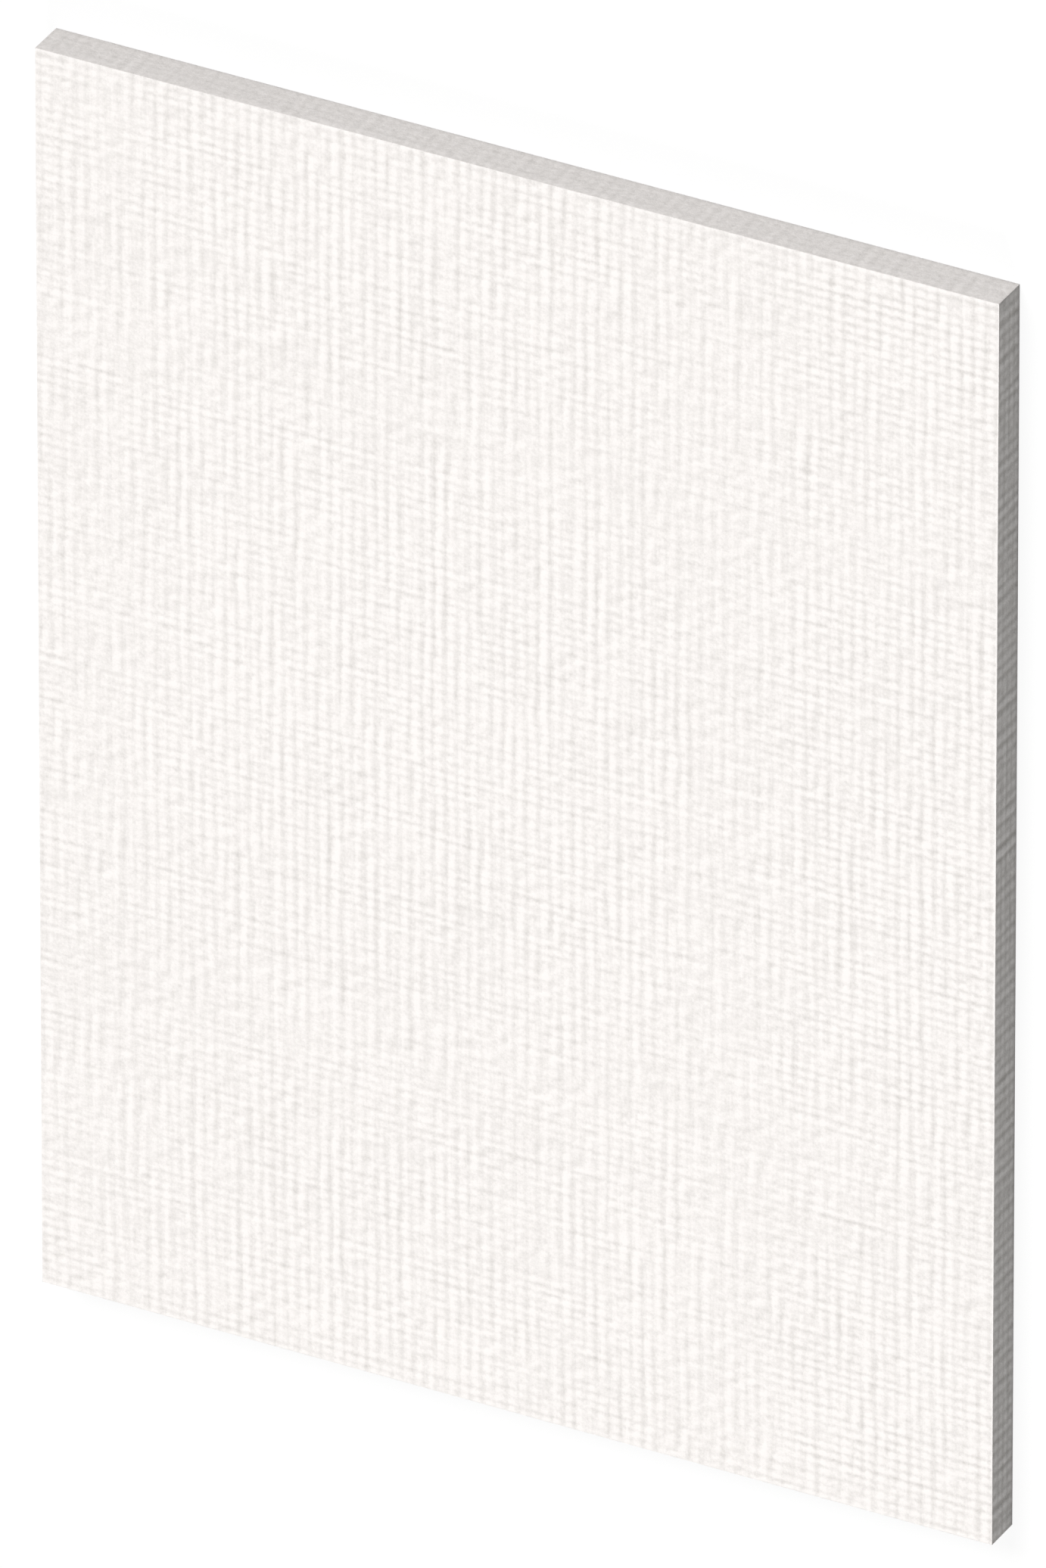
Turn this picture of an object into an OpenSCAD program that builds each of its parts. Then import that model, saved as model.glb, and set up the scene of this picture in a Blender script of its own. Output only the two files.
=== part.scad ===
// Ceramic fiber insulation board: one rigid sheet, trimmed square on its four sides.
// It lies flat. X runs across the width, Y along the length and Z up through the thickness.
// The origin is at the middle of the back face, which it lies on, and the front face is on top.

/* [Board] */
// Width across the board, 36 in
board_w = 914.4; // [100:0.1:1220]
// Length along the board, 48 in
board_l = 1219.2; // [100:0.1:1830]
// Thickness of the board, 1 1/2 in
board_t = 38.1; // [6:0.1:100]

/* [Edges] */
// Radius that trimming and handling leave on all twelve arrises
arris_r = 0.5; // [0.1:0.1:2.5]

/* [Hidden] */
$fn = 48;
fiber_white = [0.97, 0.955, 0.943];

// A rectangle about the origin whose corners are quarter circles.
module eased_rectangle(width, height) {
    square([width - 2 * arris_r, height], center = true);
    square([width, height - 2 * arris_r], center = true);
    for (side_x = [-1, 1], side_y = [-1, 1])
        translate([side_x * (width / 2 - arris_r), side_y * (height / 2 - arris_r)])
            circle(r = arris_r);
}

// The plan, which eases the four short arrises that stand through the thickness.
module plan_prism() {
    linear_extrude(height = board_t)
        eased_rectangle(board_w, board_l);
}

// The section across the width, which eases the four arrises that run along the length.
module width_prism() {
    translate([0, board_l / 2, board_t / 2])
        rotate([90, 0, 0])
            linear_extrude(height = board_l)
                eased_rectangle(board_w, board_t);
}

// The section along the length, which eases the four arrises that run across the width.
module length_prism() {
    translate([-board_w / 2, 0, board_t / 2])
        rotate([90, 0, 90])
            linear_extrude(height = board_w)
                eased_rectangle(board_l, board_t);
}

// The board is one solid: what its plan and its two sections have in common.
module board() {
    color(fiber_white)
        intersection() {
            plan_prism();
            width_prism();
            length_prism();
        }
}

board();
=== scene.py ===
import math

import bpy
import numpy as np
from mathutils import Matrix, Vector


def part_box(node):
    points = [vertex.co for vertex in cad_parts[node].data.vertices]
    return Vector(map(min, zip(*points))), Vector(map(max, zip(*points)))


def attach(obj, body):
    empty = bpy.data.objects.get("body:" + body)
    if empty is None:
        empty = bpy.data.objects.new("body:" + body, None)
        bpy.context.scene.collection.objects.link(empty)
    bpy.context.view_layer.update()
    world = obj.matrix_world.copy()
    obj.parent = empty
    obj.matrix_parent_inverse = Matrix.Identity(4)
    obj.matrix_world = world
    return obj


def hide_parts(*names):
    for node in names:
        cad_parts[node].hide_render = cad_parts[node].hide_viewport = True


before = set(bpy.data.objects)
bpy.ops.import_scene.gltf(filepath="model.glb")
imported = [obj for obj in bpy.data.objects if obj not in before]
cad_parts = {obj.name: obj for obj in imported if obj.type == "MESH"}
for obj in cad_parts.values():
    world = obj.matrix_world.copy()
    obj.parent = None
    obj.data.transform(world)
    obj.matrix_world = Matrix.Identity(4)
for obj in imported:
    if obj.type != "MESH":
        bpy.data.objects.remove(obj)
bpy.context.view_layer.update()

# Ceramic fiber insulation board, lying flat with its front face up.
# The board is one closed mesh. The felting screen's print is cut into its front and sides as real relief:
# long columns of raised ribs, broken up by shallower rows. The same print steers the material, which adds
# painted shade in the hollows, a colour that darkens the lower the print lies, the finer shape of each
# hollow and the grain of the fibres.

MM = 0.001
SEED = 36

board_low, board_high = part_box("board")
WIDTH, LENGTH, THICKNESS = board_high - board_low
MIDDLE = (board_low + board_high) / 2


# ---------------------------------------------------------------- camera

# The board is seen as if it stood upright, from its right and from above, through a very long lens.
VIEW_AZIMUTH = math.radians(27.855)
VIEW_ELEVATION = math.radians(30.95)
LENS = 1120.0
SENSOR = 36.0
PICTURE_HEIGHT = 1.0864 * LENGTH    # what the long side of the picture takes in at the board
AIM_LEFT = 2.0 * MM                 # how far the camera aims off the middle of the board
AIM_UP = 4.0 * MM
CLIP_START = 1.0


def make_camera():
    """The camera keeps its place against the upright board and is tipped over with it."""
    tip_over = Matrix.Rotation(math.radians(-90), 3, "X")
    back = tip_over @ Vector((
        math.sin(VIEW_AZIMUTH) * math.cos(VIEW_ELEVATION),
        -math.cos(VIEW_AZIMUTH) * math.cos(VIEW_ELEVATION),
        math.sin(VIEW_ELEVATION),
    ))
    right = tip_over @ Vector((math.cos(VIEW_AZIMUTH), math.sin(VIEW_AZIMUTH), 0))
    up = back.cross(right)
    distance = PICTURE_HEIGHT * LENS / SENSOR

    data = bpy.data.cameras.new("camera")
    data.lens = LENS
    data.sensor_width = SENSOR
    data.clip_start = CLIP_START
    data.clip_end = 4 * distance
    camera = bpy.data.objects.new("camera", data)
    bpy.context.scene.collection.objects.link(camera)
    camera.matrix_world = Matrix((right, up, back)).transposed().to_4x4()
    camera.location = MIDDLE + back * distance - right * AIM_LEFT + up * AIM_UP
    bpy.context.scene.camera = camera


# ---------------------------------------------------------------- small helpers for shader nodes

class Nodes:
    """A node tree with short ways to add and join nodes."""

    def __init__(self, tree):
        self.tree = tree
        tree.nodes.clear()

    def add(self, kind, inputs=None, **settings):
        node = self.tree.nodes.new(kind)
        for name, value in settings.items():
            setattr(node, name, value)
        for name, value in (inputs or {}).items():
            self.feed(node.inputs[name], value)
        return node

    def feed(self, socket, value):
        """Joins an output to the socket, or sets the socket to a plain value."""
        if isinstance(value, bpy.types.NodeSocket):
            self.tree.links.new(value, socket)
        else:
            socket.default_value = value

    def math(self, operation, a, b=0.0, c=0.0):
        node = self.add("ShaderNodeMath", {0: a, 1: b, 2: c}, operation=operation)
        return node.outputs[0]

    def attribute(self, name):
        return self.add("ShaderNodeAttribute", attribute_name=name).outputs["Fac"]

    def mix(self, factor, first, second):
        """The shader between two shaders."""
        inputs = {0: factor, 1: first.outputs[0], 2: second.outputs[0]}
        return self.add("ShaderNodeMixShader", inputs)

    def between(self, factor, first, second):
        """The colour between two colours."""
        node = self.add("ShaderNodeMix", data_type="RGBA")
        self.feed(node.inputs[0], factor)
        self.feed(node.inputs[6], first)
        self.feed(node.inputs[7], second)
        return node.outputs[2]


# ---------------------------------------------------------------- floor, world and lamps

WHITE = (1.0, 1.0, 1.0, 1.0)
SKY_LIGHT = 0.30                # light that the white surroundings give
SKY_COLOUR = (0.975, 1.0, 1.0, 1.0)
FLOOR_SIZE = 14.0
FLOOR_BOUNCE = 0.25             # what the floor reflects back at the board
FLOOR_GLOW = 0.86               # plain white that the floor shows the camera, under any shadow
FLOOR_SHADED = 0.16             # the part of the floor's look that takes the lamps' light and shadow

# Where each lamp's light comes from. The vector's length is what a white surface that faces it shows.
# The key lamp is a little warm, where the sky is a little cool.
KEY_FROM = Vector((-0.162, 0.462, 0.490))
KEY_SOFTNESS = math.radians(30)
KEY_COLOUR = (1.0, 0.985, 0.985)
LOW_FROM = Vector((0.074, -0.32, 0.237))
LOW_SOFTNESS = math.radians(12)
LOW_COLOUR = (1.0, 1.0, 1.0)


def seen_directly(nodes):
    """1 for what the camera, a reflection or a clear surface shows, 0 for light on its way elsewhere."""
    path = nodes.add("ShaderNodeLightPath").outputs
    shown = nodes.math("MAXIMUM", path["Is Camera Ray"], path["Is Glossy Ray"])
    return nodes.math("MAXIMUM", shown, path["Is Transmission Ray"])


def make_world():
    world = bpy.data.worlds.new("surroundings")
    world.use_nodes = True
    bpy.context.scene.world = world
    nodes = Nodes(world.node_tree)
    light = nodes.add("ShaderNodeBackground", {"Color": SKY_COLOUR, "Strength": SKY_LIGHT})
    backdrop = nodes.add("ShaderNodeBackground", {"Color": WHITE, "Strength": 1.0})
    mixed = nodes.mix(seen_directly(nodes), light, backdrop)
    nodes.add("ShaderNodeOutputWorld", {"Surface": mixed.outputs[0]})


def make_floor():
    half = FLOOR_SIZE / 2
    corners = [(-half, -half, 0), (half, -half, 0), (half, half, 0), (-half, half, 0)]
    mesh = bpy.data.meshes.new("floor")
    mesh.from_pydata(corners, [], [(0, 1, 2, 3)])
    floor = bpy.data.objects.new("floor", mesh)
    bpy.context.scene.collection.objects.link(floor)
    material = bpy.data.materials.new("floor")
    material.use_nodes = True
    nodes = Nodes(material.node_tree)
    bounce = nodes.add("ShaderNodeBsdfDiffuse", {"Color": (FLOOR_BOUNCE,) * 3 + (1,)})
    shaded = nodes.add("ShaderNodeBsdfDiffuse", {"Color": (FLOOR_SHADED,) * 3 + (1,)})
    glow = nodes.add("ShaderNodeEmission", {"Color": WHITE, "Strength": FLOOR_GLOW})
    shown = nodes.add("ShaderNodeAddShader", {0: shaded.outputs[0], 1: glow.outputs[0]})
    mixed = nodes.mix(seen_directly(nodes), bounce, shown)
    nodes.add("ShaderNodeOutputMaterial", {"Surface": mixed.outputs[0]})
    mesh.materials.append(material)


def make_lamp(name, light_from, softness, colour):
    data = bpy.data.lights.new(name, "SUN")
    data.energy = math.pi * light_from.length
    data.angle = softness
    data.color = colour
    lamp = bpy.data.objects.new(name, data)
    bpy.context.scene.collection.objects.link(lamp)
    lamp.rotation_mode = "QUATERNION"
    lamp.rotation_quaternion = light_from.to_track_quat("Z", "Y")
    lamp.location = MIDDLE + light_from.normalized() * 2 * LENGTH


# ---------------------------------------------------------------- sizes of the print and the mesh

COLUMN_PITCH = 11.07 * MM       # from one hollow between two ribs to the next
ROW_PITCH = 8.62 * MM           # from one cross hollow to the next
LINES_PER_COLUMN = 3            # mesh lines across one rib and its hollow
LINES_PER_ROW = 2
ROW_SHARE = 0.65                # strength of the cross hollows against that of the columns'
COLUMN_SHARPNESS = 0.07         # how much narrower a hollow is than a rib
ROW_SHARPNESS = 0.14
CROSSING_SHARE = 0.26           # how much less deep the hollows are where they cross
COLUMN_LEAN = 0.14              # how far the columns' hollows lean to one side between rows, as a phase
ROW_LEAN = 0.23                 # and how far the rows' hollows lean up on each rib
LEAST_CUT = 0.1                 # weakest that a hollow becomes
RELIEF_SCALE = 0.13 * MM        # height of the relief for a print strength of 1
RELIEF_TOP = 99.0               # share of the surface, in percent, that lies under the board's outline

ARRIS = 0.5 * MM                # radius left on the edges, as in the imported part
EDGE_DEPTH = 0.3 * MM           # depth that the printed faces have at their edges, so that they meet
RIM = 2.0 * MM                  # width of the strip beside each edge that has mesh lines of its own
FOLLOW_WIDTH = 8.0 * MM         # width of the strip in which the mesh comes to follow the straying hollows
FRONT_FADE = 0.5                # the power of the distance with which the front's print fades in its rim
PAINTED_EDGE_HIGHLIGHT = 3.0                 # painted highlight: a height that only the tone shows, which makes the front paler along its right edge
LEAST_GAP = 0.3                 # from a face's last even mesh line to its rim, in spacings of the lines
BACK_SPACING = 24 * MM          # mesh spacing on the back, which is plain
SIDE_LINES = 9                  # even mesh lines round the sides, between their two rims
ROUNDING = 1e-9                 # what two equal lengths may differ by


# ---------------------------------------------------------------- how the print varies

# Random values are given as a strength and the lengths over which they last, in mm, along and across the
# ribs. For ripples, which lean up to the right, the wave's lengths along and across stand before those.
# How far the hollows stray across the ribs and along them, in mm:
STRAY_ACROSS = (
    (0.34, 9, 4),
    (0.42, 26, 4),
    (0.15, 1, 6),
    (0.60, 90, 300),
)
STRAY_ALONG = (
    (0.22, 3, 12),
    (0.28, 3, 40),
    (0.18, 6, 1),
    (0.50, 300, 70),
)
# How the depth of the hollows varies:
COLUMN_CHANGES = (
    (0.08, 30, 10),
    (0.10, 12, 4),
)
ROW_CHANGES = (
    (0.10, 12, 20),
    (0.15, 3, 12),
    (0.07, 3, 3),
)
# How the ribs' height varies, apart from the hollows:
RIB_RIPPLES = (
    (0.40, 200, 14.5, 10, 13),
    (0.32, 2000, 15, 40, 12),
)
ROW_RIPPLES = (
    (0.28, 11.8, 90, 4, 20),
    (0.26, 11, 1000, 4, 50),
)
THIN_LINES = (
    (0.10, 10, 1),
    (0.04, 50, 1),
    (0.06, 1, 10),
    (0.12, 1, 50),
)
SLANTED_RIPPLES = (
    (0.28, 16, 24, 4, 12),
    (0.22, 18, 50, 4, 14),
)
LUMPS = (
    (0.14, 2, 2),
    (0.05, 14, 14),
    (0.04, 60, 60),
)
# Strengths of the even slants that run through every second crossing, up and down to the right:
UPWARD_SLANT = 0.23
DOWNWARD_SLANT = 0.09

# Faint bands part the front into fields. A band is given as how much it strengthens the print, its middle
# and its half width. Places are shares of the front's width from its left, or of its length from its top.
COLUMN_LEVEL = 0.97
COLUMN_BANDS_ACROSS = (
    (-0.546, 0.03, 0.09),
    (-0.485, 0.74, 0.065),
)
COLUMN_BANDS_DOWN = (
    (-0.28, 0.22, 0.03),
    (-0.50, 0.75, 0.05),
)
ROW_BANDS_ACROSS = (
    (0.35, 0.00, 0.035),
    (-0.40, 0.08, 0.03),
    (-0.30, 0.71, 0.04),
)
ROW_BANDS_DOWN = (
    (0.14, 0.03, 0.08),
    (-0.50, 0.22, 0.03),
    (-0.25, 0.71, 0.05),
    (0.16, 0.97, 0.10),
)
ROW_STEP = 0.48                 # how much stronger the rows are in the field at the right
STEP_PLACE = 0.78
STEP_WIDTH = 0.02

# Strengths of the print's parts in each face; they set the relief, and how dark the painted shade in the
# hollows is.
# The level and the rims are heights that only the tone shows, darker where they are below 0: over the face,
# along its edge with the front, and along its edge with the back.
FRONT_PRINT = {
    "ribs": 1.0,
    "swell": 1.0,
    "level": 0.0,
    "relief": 1.0,
    "shading": 1.0,
}
# The long sides get the strongest painted shade in their hollows, on a tone that is darker all over.
LONG_SIDE_PRINT = {
    "columns": 1.75,
    "rows": 1.6,
    "ribs": 2.1,
    "swell": 1.1,
    "level": -2.2,
    "relief": 0.25,
    "shading": 0.6,
    "front_rim": -2.6,
    "back_rim": -0.6,
}
SHORT_SIDE_PRINT = {
    "columns": 0.37,
    "rows": 0.55,
    "ribs": 0.60,
    "swell": 0.42,
    "level": 0.0,
    "relief": 1.3,
    "shading": 1.0,
    "front_rim": -1.5,
    "back_rim": -0.6,
}


# ---------------------------------------------------------------- the print in the faces

random = np.random.default_rng(SEED)


def soft_noise(shape, spacing, run):
    """Random values round 0 on a grid, with a spread of 1, that last over a length along each axis."""
    spectrum = np.fft.fft2(random.standard_normal(shape))
    for axis in (0, 1):
        frequency = np.fft.fftfreq(shape[axis], spacing[axis])
        kept = np.exp(-2 * (math.pi * run[axis] * frequency)**2)
        spectrum *= kept[:, None] if axis == 0 else kept[None, :]
    spectrum[0, 0] = 0
    field = np.fft.ifft2(spectrum).real
    return field / field.std()


def sampled(field, spacing, along, across):
    """The field's values at places measured from its middle."""
    row = along / spacing[0] + field.shape[0] / 2
    column = across / spacing[1] + field.shape[1] / 2
    top = np.floor(row).astype(int)
    left = np.floor(column).astype(int)
    down = row - top
    right = column - left
    upper = field[top, left] * (1 - right) + field[top, left + 1] * right
    lower = field[top + 1, left] * (1 - right) + field[top + 1, left + 1] * right
    return upper * (1 - down) + lower * down


def hollow(wave, sharpness):
    """The shape across a run of ribs: 1 and a little more in each hollow, below 0 on each rib."""
    return wave + sharpness * (2 * wave**2 - 1)


def banded(places, bands):
    """Strengths round 1 at the places, made weaker or stronger by soft bands."""
    strengths = np.ones(places.shape)
    for change, middle, half_width in bands:
        strengths *= 1 + change * np.exp(-((places - middle) / half_width)**2)
    return strengths


def front_strengths(x, y):
    """How strongly columns and rows are printed over the front."""
    right = x / WIDTH + 0.5
    down = 0.5 - y / LENGTH
    columns = COLUMN_LEVEL * banded(right, COLUMN_BANDS_ACROSS) * banded(down, COLUMN_BANDS_DOWN)
    step = (1 + np.tanh((right - STEP_PLACE) / STEP_WIDTH)) / 2
    rows = (1 + ROW_STEP * step) * banded(right, ROW_BANDS_ACROSS) * banded(down, ROW_BANDS_DOWN)
    return columns, rows


class Print:
    """The screen's print at points of one face, whose places are in metres from the middle of that face."""

    def __init__(self, across, along):
        self.across = across
        self.along = along
        self.column = across / COLUMN_PITCH
        self.row = along / ROW_PITCH
        self.spacing = (ROW_PITCH / LINES_PER_ROW, COLUMN_PITCH / LINES_PER_COLUMN)
        reach = (np.abs(along).max(), np.abs(across).max())
        self.shape = [2 * int(reach[axis] / self.spacing[axis] + 2) for axis in (0, 1)]

    def drawn(self, along_run, across_run):
        """Random values that last over the given lengths."""
        field = soft_noise(self.shape, self.spacing, (along_run * MM, across_run * MM))
        return sampled(field, self.spacing, self.along, self.across)

    def ripple(self, along_wave, across_wave, along_run, across_run):
        """Waves that keep in step over the given lengths."""
        turn = 2 * math.pi * (self.across / (across_wave * MM) - self.along / (along_wave * MM))
        first = self.drawn(along_run, across_run)
        second = self.drawn(along_run, across_run)
        return first * np.cos(turn) + second * np.sin(turn)

    def all_drawn(self, table):
        return sum(strength * self.drawn(*runs) for strength, *runs in table)

    def all_ripples(self, table):
        return sum(strength * self.ripple(*lengths) for strength, *lengths in table)

    def wander(self, inset):
        """Lets the hollows stray, and gives how far the mesh follows, which it doesn't at the edges."""
        across = self.all_drawn(STRAY_ACROSS) * MM
        along = self.all_drawn(STRAY_ALONG) * MM
        follow = np.clip(inset / FOLLOW_WIDTH, 0, 1)
        self.column = self.column - across * (1 - follow) / COLUMN_PITCH
        self.row = self.row - along * (1 - follow) / ROW_PITCH
        return across * follow, along * follow

    def cut(self, fade, columns, rows, ribs, swell, level, relief, shading, front_rim=0, back_rim=0):
        """Cuts the print, less where it fades, and sets the surface's depth and the material's values."""
        column_cut = 1 + self.all_drawn(COLUMN_CHANGES)
        row_cut = 1 + self.all_drawn(ROW_CHANGES)
        self.column_cut = np.maximum(column_cut, LEAST_CUT) * columns * fade
        self.row_cut = np.maximum(row_cut, LEAST_CUT) * rows * ROW_SHARE * fade

        uneven = ribs * self.all_ripples(RIB_RIPPLES)
        uneven += swell * self.all_ripples(ROW_RIPPLES)
        uneven += swell * self.all_drawn(THIN_LINES)
        uneven += swell * self.all_ripples(SLANTED_RIPPLES)
        uneven += swell * self.all_drawn(LUMPS)
        uneven += swell * UPWARD_SLANT * np.cos(math.pi * (self.column - self.row))
        uneven += swell * DOWNWARD_SLANT * np.cos(math.pi * (self.column + self.row))
        uneven *= fade

        column_wave = np.cos(2 * math.pi * self.column)
        row_wave = np.cos(2 * math.pi * self.row)
        leaning_column = np.cos(2 * math.pi * self.column + COLUMN_LEAN * row_wave)
        leaning_row = np.cos(2 * math.pi * self.row + ROW_LEAN * column_wave)
        height = uneven + CROSSING_SHARE * self.column_cut * self.row_cut * column_wave * row_wave
        height -= self.column_cut * hollow(leaning_column, COLUMN_SHARPNESS)
        height -= self.row_cut * hollow(leaning_row, ROW_SHARPNESS)
        top = np.percentile(height, RELIEF_TOP)
        depth = relief * RELIEF_SCALE * np.clip(top - height, 0, None)
        self.depth = EDGE_DEPTH + (depth - EDGE_DEPTH) * fade

        rim = np.where(self.along > 0, front_rim, back_rim)
        self.swell = uneven + level + rim * (1 - fade)
        self.shading = np.full(height.shape, shading)


# ---------------------------------------------------------------- the board's mesh

CARRIED = ("column", "row", "column_cut", "row_cut", "swell", "shading")    # for the material
PRINTED = CARRIED + ("depth",)


def mesh_lines(span, spacing):
    """Places of the mesh lines across a face, from its middle: even ones, and three beside each edge."""
    edges = np.array([span / 2, span / 2 - ARRIS, span / 2 - RIM])
    reach = int((span / 2 - RIM) / spacing - LEAST_GAP)
    even = np.arange(-reach, reach + 1) * spacing
    return np.concatenate([-edges, even, edges[::-1]])


def face_grid(lines_x, lines_y):
    """Points of a grid, row by row, and the quads between them."""
    x, y = np.meshgrid(lines_x, lines_y)
    index = np.arange(x.size).reshape(x.shape)
    corners = (index[:-1, :-1], index[:-1, 1:], index[1:, 1:], index[1:, :-1])
    return x.ravel(), y.ravel(), index, np.stack(corners, -1).reshape(-1, 4)


def border(index):
    """The outer points of a grid, anticlockwise from its lowest corner."""
    return np.concatenate([index[0, :-1], index[:-1, -1], index[-1, :0:-1], index[:0:-1, 0]])


def border_places(lines_x, lines_y):
    """How far round the border each of its points is, counting each side as 1."""
    x = (lines_x - lines_x[0]) / (lines_x[-1] - lines_x[0])
    y = (lines_y - lines_y[0]) / (lines_y[-1] - lines_y[0])
    return np.concatenate([x[:-1], 1 + y[:-1], 3 - x[:0:-1], 4 - y[:0:-1]])


def zip_rings(outer, outer_places, inner, inner_places):
    """Triangles between two closed rings of points with different spacing."""
    triangles = []
    i = 0
    j = 0
    outer_places = np.append(outer_places, 4.0)
    inner_places = np.append(inner_places, 4.0)
    while i < len(outer) or j < len(inner):
        outer_next = outer_places[i + 1] if i < len(outer) else math.inf
        inner_next = inner_places[j + 1] if j < len(inner) else math.inf
        a = int(outer[i % len(outer)])
        b = int(inner[j % len(inner)])
        if outer_next <= inner_next:
            i += 1
            triangles.append((a, b, int(outer[i % len(outer)])))
        else:
            j += 1
            triangles.append((a, b, int(inner[j % len(inner)])))
    return triangles


def make_front(lines_x, lines_y):
    """The front's points, the print at them, its quads and its border."""
    x, y, index, quads = face_grid(lines_x, lines_y)
    inset = np.minimum(WIDTH / 2 - np.abs(x), LENGTH / 2 - np.abs(y))
    face = Print(x, y)
    stray_x, stray_y = face.wander(inset)
    columns, rows = front_strengths(x, y)
    face.cut(np.clip(inset / RIM, 0, 1)**FRONT_FADE, columns, rows, **FRONT_PRINT)
    # Painted highlight: the tone is made paler in a strip along the front's right edge.
    painted_highlight = np.clip((RIM - (WIDTH / 2 - x)) / (RIM - ARRIS), 0, 1)
    face.swell = face.swell + PAINTED_EDGE_HIGHLIGHT * painted_highlight
    points = np.stack([x + stray_x, y + stray_y, np.full(x.size, THICKNESS / 2)], 1)
    values = {name: getattr(face, name) for name in PRINTED}
    return points, values, quads, border(index)


def make_sides(edge, lines_z):
    """Points of the rings that go down the four sides from the front's edge, and the print at them."""
    rings = len(lines_z) - 1
    x = np.tile(edge[:, 0], rings)
    y = np.tile(edge[:, 1], rings)
    z = np.repeat(lines_z[1:], len(edge))
    on_long_side = np.abs(x) > WIDTH / 2 - ROUNDING
    inset_z = THICKNESS / 2 - np.abs(z)
    values = {name: np.zeros(z.size) for name in PRINTED}
    sides = (
        (y, on_long_side & (x > 0), LONG_SIDE_PRINT),
        (y, on_long_side & (x < 0), LONG_SIDE_PRINT),
        (x, ~on_long_side & (y > 0), SHORT_SIDE_PRINT),
        (x, ~on_long_side & (y < 0), SHORT_SIDE_PRINT),
    )
    for across, chosen, strengths in sides:
        inset = np.minimum(inset_z, np.abs(across).max() - np.abs(across))[chosen]
        face = Print(across[chosen], z[chosen])
        stray_across, stray_along = face.wander(inset)
        face.cut(np.clip((inset - ARRIS) / (RIM - ARRIS), 0, 1), **strengths)
        for name in PRINTED:
            values[name][chosen] = getattr(face, name)
        across[chosen] += stray_across
        z[chosen] += stray_along
    return np.stack([x, y, z], 1), values


def join_rings(first, starts, size):
    """Quads between the ring of points first and the rings of that size that follow each other below it."""
    quads = []
    upper = first
    for start in starts:
        lower = start + np.arange(size)
        quads += np.stack([upper, lower, np.roll(lower, -1), np.roll(upper, -1)], 1).tolist()
        upper = lower
    return quads, upper


def outward_from_core(points):
    """The nearest spot to each point in the core, one arris in from all faces, and the way out of it."""
    half = np.array([WIDTH / 2, LENGTH / 2, THICKNESS / 2])
    core = np.clip(points, ARRIS - half, half - ARRIS)
    outward = points - core
    outward /= np.linalg.norm(outward, axis=1, keepdims=True)
    return core, outward


# The parts of the mesh, in the order in which its sides go round.
FRONT, NEAR, RIGHT, FAR, LEFT, BACK = range(6)

MAP_MARGIN = 0.005              # strip left free round each part in the map, as a share of the map
MAP_SCALE = (1 - 2 * MAP_MARGIN) / LENGTH
SIDE_STEP = THICKNESS * MAP_SCALE + 2 * MAP_MARGIN
SIDES_FROM = WIDTH * MAP_SCALE + 3 * MAP_MARGIN
BACK_FROM = SIDES_FROM + 4 * SIDE_STEP
BACK_SCALE = (1 - BACK_FROM - MAP_MARGIN) / WIDTH


def lay_out(mesh, points, parts):
    """Gives each part of the mesh its own place in a baked map. The back is plain, so it is kept small."""
    corners = np.empty(len(mesh.loops), dtype=np.int32)
    mesh.loops.foreach_get("vertex_index", corners)
    sizes = np.empty(len(mesh.polygons), dtype=np.int32)
    mesh.polygons.foreach_get("loop_total", sizes)
    part = np.repeat(parts, sizes)
    x, y, z = (points[corners] + np.array((WIDTH, LENGTH, THICKNESS)) / 2).T

    along = np.where((part == NEAR) | (part == FAR), x, y)
    across = np.where(part == FRONT, x, z)
    across = np.where((part == NEAR) | (part == RIGHT), THICKNESS - z, across)
    across = np.where(part == BACK, WIDTH - x, across)
    left = np.where(part == FRONT, MAP_MARGIN, SIDES_FROM + (part - NEAR) * SIDE_STEP)
    scale = np.where(part == BACK, BACK_SCALE, MAP_SCALE)
    places = np.stack([left + across * scale, MAP_MARGIN + along * scale], 1)
    layer = mesh.uv_layers.new(name="OFBake")
    layer.data.foreach_set("uv", places.astype(np.float32).ravel())


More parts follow.
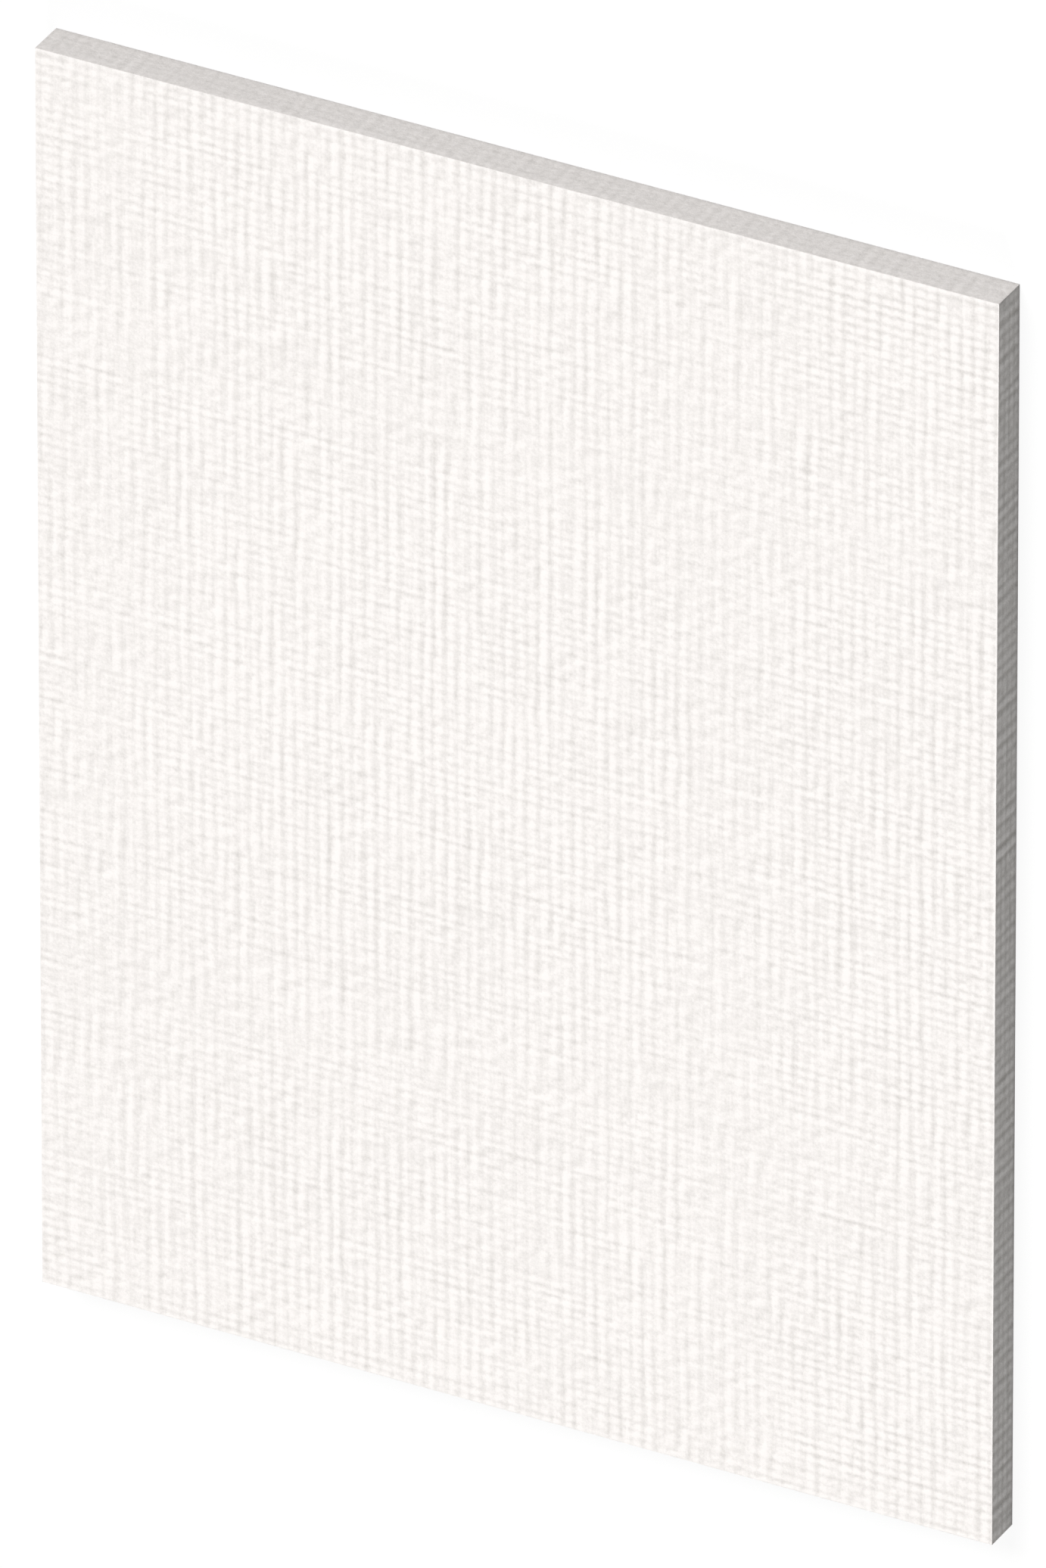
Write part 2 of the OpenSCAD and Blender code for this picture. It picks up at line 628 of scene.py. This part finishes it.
def make_board():
    """One closed mesh: the front, the four sides as rings below it, and a plain back zipped to the last."""
    lines_x = mesh_lines(WIDTH, COLUMN_PITCH / LINES_PER_COLUMN)
    lines_y = mesh_lines(LENGTH, ROW_PITCH / LINES_PER_ROW)
    lines_z = mesh_lines(THICKNESS, (THICKNESS - 2 * RIM) / SIDE_LINES)[::-1]
    back_x = mesh_lines(WIDTH, BACK_SPACING)[1:-1]
    back_y = mesh_lines(LENGTH, BACK_SPACING)[1:-1]

    front_points, front_values, front_quads, edge = make_front(lines_x, lines_y)
    side_points, side_values = make_sides(front_points[edge], lines_z)
    x, y, back, back_quads = face_grid(back_x, back_y)
    back_points = np.stack([x, y, np.full(x.size, -THICKNESS / 2)], 1)
    points = np.concatenate([front_points, side_points, back_points])
    values = {
        name: np.concatenate([front_values[name], side_values[name], np.zeros(x.size)])
        for name in PRINTED
    }

    sides_from = len(front_points)
    back_from = sides_from + len(side_points)
    starts = range(sides_from, back_from, edge.size)
    side_quads, last_ring = join_rings(edge, starts, edge.size)
    last_places = border_places(lines_x, lines_y)
    seam = zip_rings(last_ring, last_places, border(back) + back_from, border_places(back_x, back_y))
    back_faces = (back_quads[:, ::-1] + back_from).tolist() + seam
    round_once = np.repeat([NEAR, RIGHT, FAR, LEFT], [len(lines_x) - 1, len(lines_y) - 1] * 2)
    parts = np.concatenate([
        np.full(len(front_quads), FRONT),
        np.tile(round_once, len(starts)),
        np.full(len(back_faces), BACK),
    ])

    core, outward = outward_from_core(points)
    placed = core + outward * (ARRIS - values["depth"])[:, None] + np.array(MIDDLE)
    mesh = bpy.data.meshes.new("fiber_board")
    mesh.from_pydata(placed.tolist(), [], front_quads.tolist() + side_quads + back_faces)
    for name in CARRIED:
        layer = mesh.attributes.new(name, "FLOAT", "POINT")
        layer.data.foreach_set("value", values[name].astype(np.float32))
    lay_out(mesh, points, parts)
    mesh.shade_smooth()
    mesh.validate()
    board = bpy.data.objects.new("fiber_board", mesh)
    bpy.context.scene.collection.objects.link(board)
    return board


# ---------------------------------------------------------------- the fiber material

# Heights are in strengths of the print, as in the mesh.
# The tone is painted shade: it darkens from RIDGE_WHITE on the ribs' tops towards a grey in the deepest
# hollows.
RIDGE_WHITE = (1.000, 0.965, 0.941, 1.0)
HOLLOW_SHADE_GREY = (0.611, 0.582, 0.553, 1.0)
HEIGHT_LOW = -6.7               # height at which the painted shade is darkest
HEIGHT_HIGH = 1.7               # height from which it is RIDGE_WHITE
RIDGE_SOFTNESS = 0.7            # how softly the ribs' tops level out
GRAIN_SCALE = 290.0             # lumps of fibre to a metre
GRAIN_DETAIL = 2.0
GRAIN_ROUGHNESS = 0.9
GRAIN_HEIGHT = 7.2
STREAK_SCALE = 380.0            # fine streaks to a metre
STREAK_STRETCH = (1.0, 0.05, 1.0)   # draws them out along the board
STREAK_DETAIL = 1.0
STREAK_HEIGHT = 2.4
FINE_DEPTH = 0.05 * MM          # depth of the finer relief for a height of 1
ROUGHNESS = 0.92
GLOSS = 0.2


def print_height(nodes):
    """The height that hollows and uneven ribs give, worked out at every spot, so finer than the mesh."""

    def hollow_shape(turn, lean, other_wave, sharpness):
        wave = nodes.math("COSINE", nodes.math("MULTIPLY_ADD", other_wave, lean, turn))
        square = nodes.math("MULTIPLY", wave, wave)
        return nodes.math("ADD", wave, nodes.math("MULTIPLY_ADD", square, 2 * sharpness, -sharpness))

    column_turn = nodes.math("MULTIPLY", nodes.attribute("column"), 2 * math.pi)
    row_turn = nodes.math("MULTIPLY", nodes.attribute("row"), 2 * math.pi)
    column_wave = nodes.math("COSINE", column_turn)
    row_wave = nodes.math("COSINE", row_turn)
    column_cut = nodes.attribute("column_cut")
    row_cut = nodes.attribute("row_cut")
    column_shape = hollow_shape(column_turn, COLUMN_LEAN, row_wave, COLUMN_SHARPNESS)
    row_shape = hollow_shape(row_turn, ROW_LEAN, column_wave, ROW_SHARPNESS)
    columns = nodes.math("MULTIPLY", column_cut, column_shape)
    rows = nodes.math("MULTIPLY", row_cut, row_shape)
    crossing = nodes.math("MULTIPLY", nodes.math("MULTIPLY", column_cut, row_cut), CROSSING_SHARE)
    crossing = nodes.math("MULTIPLY", crossing, nodes.math("MULTIPLY", column_wave, row_wave))
    height = nodes.math("SUBTRACT", nodes.attribute("swell"), nodes.math("ADD", columns, rows))
    return nodes.math("ADD", height, crossing)


def fibre_height(nodes):
    """The height that lumps and streaks of fibre add."""
    place = nodes.add("ShaderNodeTexCoord").outputs["Object"]
    grain = nodes.add("ShaderNodeTexNoise", {
        "Vector": place,
        "Scale": GRAIN_SCALE,
        "Detail": GRAIN_DETAIL,
        "Roughness": GRAIN_ROUGHNESS,
    })
    drawn_out = nodes.add("ShaderNodeVectorMath", {0: place, 1: STREAK_STRETCH}, operation="MULTIPLY")
    streaks = nodes.add("ShaderNodeTexNoise", {
        "Vector": drawn_out.outputs[0],
        "Scale": STREAK_SCALE,
        "Detail": STREAK_DETAIL,
    })
    lump = nodes.math("SUBTRACT", grain.outputs["Fac"], 0.5)
    streak = nodes.math("SUBTRACT", streaks.outputs["Fac"], 0.5)
    return nodes.math("MULTIPLY_ADD", streak, STREAK_HEIGHT, nodes.math("MULTIPLY", lump, GRAIN_HEIGHT))


def make_fiber_material():
    material = bpy.data.materials.new("ceramic_fiber")
    material.use_nodes = True
    nodes = Nodes(material.node_tree)
    height = print_height(nodes)
    fibres = fibre_height(nodes)

    # The colour is painted shade in the hollows: it darkens as the print and the fibres lie lower, and
    # levels out white on the ribs' tops.
    levelled = nodes.math("SMOOTH_MIN", nodes.math("ADD", height, fibres), HEIGHT_HIGH, RIDGE_SOFTNESS)
    factor = nodes.add("ShaderNodeMapRange", {
        "Value": levelled,
        "From Min": HEIGHT_LOW,
        "From Max": HEIGHT_HIGH,
    })
    colour = nodes.between(factor.outputs["Result"], HOLLOW_SHADE_GREY, RIDGE_WHITE)
    shaded = nodes.math("MULTIPLY_ADD", height, nodes.attribute("shading"), fibres)
    bump = nodes.add("ShaderNodeBump", {"Height": shaded, "Distance": FINE_DEPTH, "Strength": 1.0})
    skin = nodes.add("ShaderNodeBsdfPrincipled", {
        "Base Color": colour,
        "Roughness": ROUGHNESS,
        "Specular IOR Level": GLOSS,
        "Normal": bump.outputs[0],
    })
    nodes.add("ShaderNodeOutputMaterial", {"Surface": skin.outputs[0]})
    return material


# ---------------------------------------------------------------- putting it together

make_camera()
make_world()
make_floor()
make_lamp("key_lamp", KEY_FROM, KEY_SOFTNESS, KEY_COLOUR)
make_lamp("low_lamp", LOW_FROM, LOW_SOFTNESS, LOW_COLOUR)

board = make_board()
board.data.materials.append(make_fiber_material())
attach(board, "root")
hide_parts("board")

bpy.context.scene.view_settings.view_transform = "Standard"
